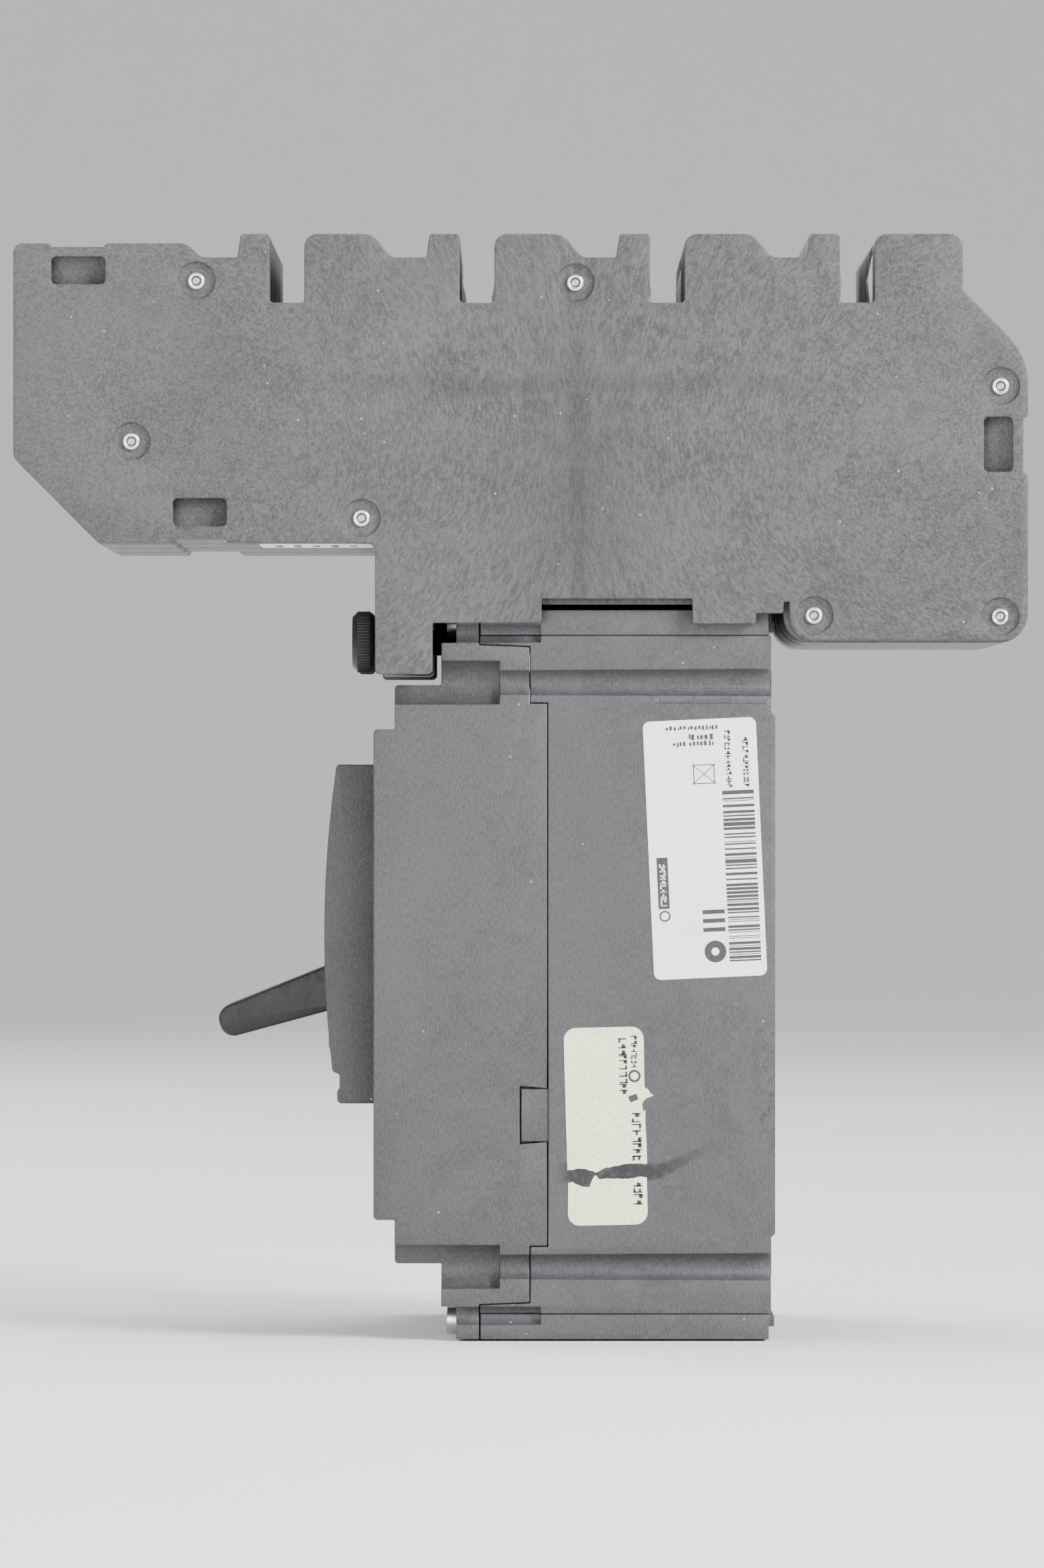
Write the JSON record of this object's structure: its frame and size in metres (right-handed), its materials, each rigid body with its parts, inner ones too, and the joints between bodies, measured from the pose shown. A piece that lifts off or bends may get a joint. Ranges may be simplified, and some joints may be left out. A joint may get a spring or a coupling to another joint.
{
  "type": "moulded-case circuit breaker",
  "caption": "Moulded-case circuit breaker with a lever handle and a riveted plug-on busbar jaw housing across its line end.",
  "frame": {"origin": "middle of the four fixing holes, on the mounting plane", "axes": "-Y towards the front with the handle, +Z towards the line end with the jaw housing, X across the poles"},
  "size_m": [0.112, 0.2168, 0.2363],
  "materials": {
    "housing_plastic": "textured grey moulding",
    "base_plastic": "bluish grey moulding",
    "cover_plastic": "neutral grey moulding",
    "handle_plastic": "brownish dark grey",
    "black_plastic": "black",
    "inner_plastic": "cream insulating moulding",
    "rotor_plastic": "dark brown",
    "red_plastic": "red",
    "white_label": "white printed film",
    "cream_label": "cream printed film",
    "tin_plate": "tin plated",
    "zinc_steel": "zinc plated",
    "magnet_iron": "plain iron",
    "copper": "copper",
    "bimetal": "bimetal strip"
  },
  "bodies": {
    "root": {"housing_side_plate": "housing_plastic", "housing_right_shell": "housing_plastic", "housing_centre_shell": "housing_plastic", "housing_left_shell": "housing_plastic", "base": "base_plastic", "line_end_cap": "base_plastic", "load_end_cap": "base_plastic", "cover": "cover_plastic", "nose": "cover_plastic", "trip_case": "black_plastic", "arc_chute_cheeks": "inner_plastic", "large_label": "white_label", "small_label": "cream_label", "line_straps": "tin_plate", "load_lugs": "tin_plate", "terminal_screws": "tin_plate", "housing_rivets": "tin_plate", "jaw_cages": "zinc_steel", "jaw_pins": "zinc_steel", "jaw_springs": "zinc_steel", "cover_screws": "zinc_steel", "lug_screws": "zinc_steel", "handle_pins": "zinc_steel", "side_plates": "zinc_steel", "cradle": "zinc_steel", "cradle_pin": "zinc_steel", "anchor_pins": "zinc_steel", "line_arc_plates": "zinc_steel", "load_arc_plates": "zinc_steel", "magnet_yokes": "magnet_iron", "line_contacts": "copper", "load_contacts": "copper", "bimetals": "bimetal"},
    "handle": {"handle": "handle_plastic", "handle_yoke": "zinc_steel", "main_springs": "zinc_steel"},
    "rotor": {"contact_rotor": "rotor_plastic", "contact_bridges": "copper", "crank_pin": "zinc_steel"},
    "upper_links": {"upper_links": "zinc_steel"},
    "lower_links": {"lower_links": "zinc_steel", "toggle_pin": "zinc_steel"},
    "trip_button": {"trip_button": "red_plastic", "trip_button_spring": "zinc_steel"},
    "trip_bar": {"trip_bar": "inner_plastic"},
    "setting_dial": {"setting_dial": "black_plastic"},
    "securing_screw_right": {"securing_screw_right": "black_plastic"},
    "securing_screw_left": {"securing_screw_left": "black_plastic"},
    "armature_right": {"armature_right": "magnet_iron"},
    "jaw_finger_right_front": {"jaw_finger_right_front": "tin_plate"},
    "jaw_finger_right_back": {"jaw_finger_right_back": "tin_plate"},
    "armature_centre": {"armature_centre": "magnet_iron"},
    "jaw_finger_centre_front": {"jaw_finger_centre_front": "tin_plate"},
    "jaw_finger_centre_back": {"jaw_finger_centre_back": "tin_plate"},
    "armature_left": {"armature_left": "magnet_iron"},
    "jaw_finger_left_front": {"jaw_finger_left_front": "tin_plate"},
    "jaw_finger_left_back": {"jaw_finger_left_back": "tin_plate"}
  },
  "joints": [
    {"name": "handle_hinge", "type": "hinge", "parent": "root", "child": "handle", "pos_m": [0, -0.06, 0.0084], "axis": [-1, 0, 0], "range_deg": [0, 37]},
    {"name": "rotor_turn", "type": "hinge", "parent": "root", "child": "rotor", "pos_m": [0, -0.027, 0.005], "axis": [-1, 0, 0], "range_deg": [0, 25.05]},
    {"name": "upper_link_pivot", "type": "hinge", "parent": "root", "child": "upper_links", "pos_m": [0, -0.054, -0.016], "axis": [-1, 0, 0], "range_deg": [0, 23.4]},
    {"name": "lower_link_pivot", "type": "hinge", "parent": "rotor", "child": "lower_links", "pos_m": [0, -0.04164, 0.00175], "axis": [1, 0, 0], "range_deg": [0, 64.1]},
    {"name": "trip_button_push", "type": "slide", "parent": "root", "child": "trip_button", "axis": [0, 1, 0], "range_m": [0, 0.003], "stiffness_N_per_m": 150, "springref_m": -0.004},
    {"name": "trip_bar_turn", "type": "hinge", "parent": "root", "child": "trip_bar", "pos_m": [0, -0.052, -0.033], "axis": [-1, 0, 0], "range_deg": [0, 10.1]},
    {"name": "setting_dial_turn", "type": "hinge", "parent": "root", "child": "setting_dial", "pos_m": [0.03, -0.08, -0.04], "axis": [0, -1, 0], "range_deg": [0, 270]},
    {"name": "securing_screw_right_turn", "type": "hinge", "parent": "root", "child": "securing_screw_right", "pos_m": [0.0175, -0.08, 0.0717], "axis": [0, -1, 0], "continuous": true},
    {"name": "securing_screw_left_turn", "type": "hinge", "parent": "root", "child": "securing_screw_left", "pos_m": [-0.0175, -0.08, 0.0717], "axis": [0, -1, 0], "continuous": true},
    {"name": "armature_right_turn", "type": "hinge", "parent": "root", "child": "armature_right", "pos_m": [0.035, -0.0433, -0.053], "axis": [-1, 0, 0], "range_deg": [0, 3.5], "stiffness_Nm_per_rad": 0.02, "springref_deg": -11.46},
    {"name": "jaw_right_back_spread", "type": "hinge", "parent": "root", "child": "jaw_finger_right_back", "pos_m": [0.035, 0.02195, 0.118], "axis": [-1, 0, 0], "range_deg": [0, 1.4], "stiffness_Nm_per_rad": 5, "springref_deg": -2.86},
    {"name": "jaw_right_front_spread", "type": "hinge", "parent": "root", "child": "jaw_finger_right_front", "pos_m": [0.035, 0.01285, 0.118], "axis": [1, 0, 0], "range_deg": [0, 1.45]},
    {"name": "armature_centre_turn", "type": "hinge", "parent": "root", "child": "armature_centre", "pos_m": [0, -0.0433, -0.053], "axis": [-1, 0, 0], "range_deg": [0, 3.5], "stiffness_Nm_per_rad": 0.02, "springref_deg": -11.46},
    {"name": "jaw_centre_back_spread", "type": "hinge", "parent": "root", "child": "jaw_finger_centre_back", "pos_m": [0, -0.01865, 0.118], "axis": [-1, 0, 0], "range_deg": [0, 1.4], "stiffness_Nm_per_rad": 5, "springref_deg": -2.86},
    {"name": "jaw_centre_front_spread", "type": "hinge", "parent": "root", "child": "jaw_finger_centre_front", "pos_m": [0, -0.02775, 0.118], "axis": [1, 0, 0], "range_deg": [0, 1.45]},
    {"name": "armature_left_turn", "type": "hinge", "parent": "root", "child": "armature_left", "pos_m": [-0.035, -0.0433, -0.053], "axis": [-1, 0, 0], "range_deg": [0, 3.5], "stiffness_Nm_per_rad": 0.02, "springref_deg": -11.46},
    {"name": "jaw_left_back_spread", "type": "hinge", "parent": "root", "child": "jaw_finger_left_back", "pos_m": [-0.035, -0.05925, 0.118], "axis": [-1, 0, 0], "range_deg": [0, 1.4], "stiffness_Nm_per_rad": 5, "springref_deg": -2.86},
    {"name": "jaw_left_front_spread", "type": "hinge", "parent": "root", "child": "jaw_finger_left_front", "pos_m": [-0.035, -0.06835, 0.118], "axis": [1, 0, 0], "range_deg": [0, 1.45]}
  ],
  "couplings": [
    {"joint": "rotor_turn", "follows": "handle_hinge", "ratio": 0.67568},
    {"joint": "upper_link_pivot", "follows": "handle_hinge", "ratio": 0.63086},
    {"joint": "lower_link_pivot", "follows": "handle_hinge", "ratio": 1.73},
    {"joint": "trip_bar_turn", "follows": "trip_button_push", "rad_per_m": 58.178},
    {"joint": "jaw_right_front_spread", "follows": "jaw_right_back_spread", "ratio": 1},
    {"joint": "jaw_centre_front_spread", "follows": "jaw_centre_back_spread", "ratio": 1},
    {"joint": "jaw_left_front_spread", "follows": "jaw_left_back_spread", "ratio": 1}
  ]
}
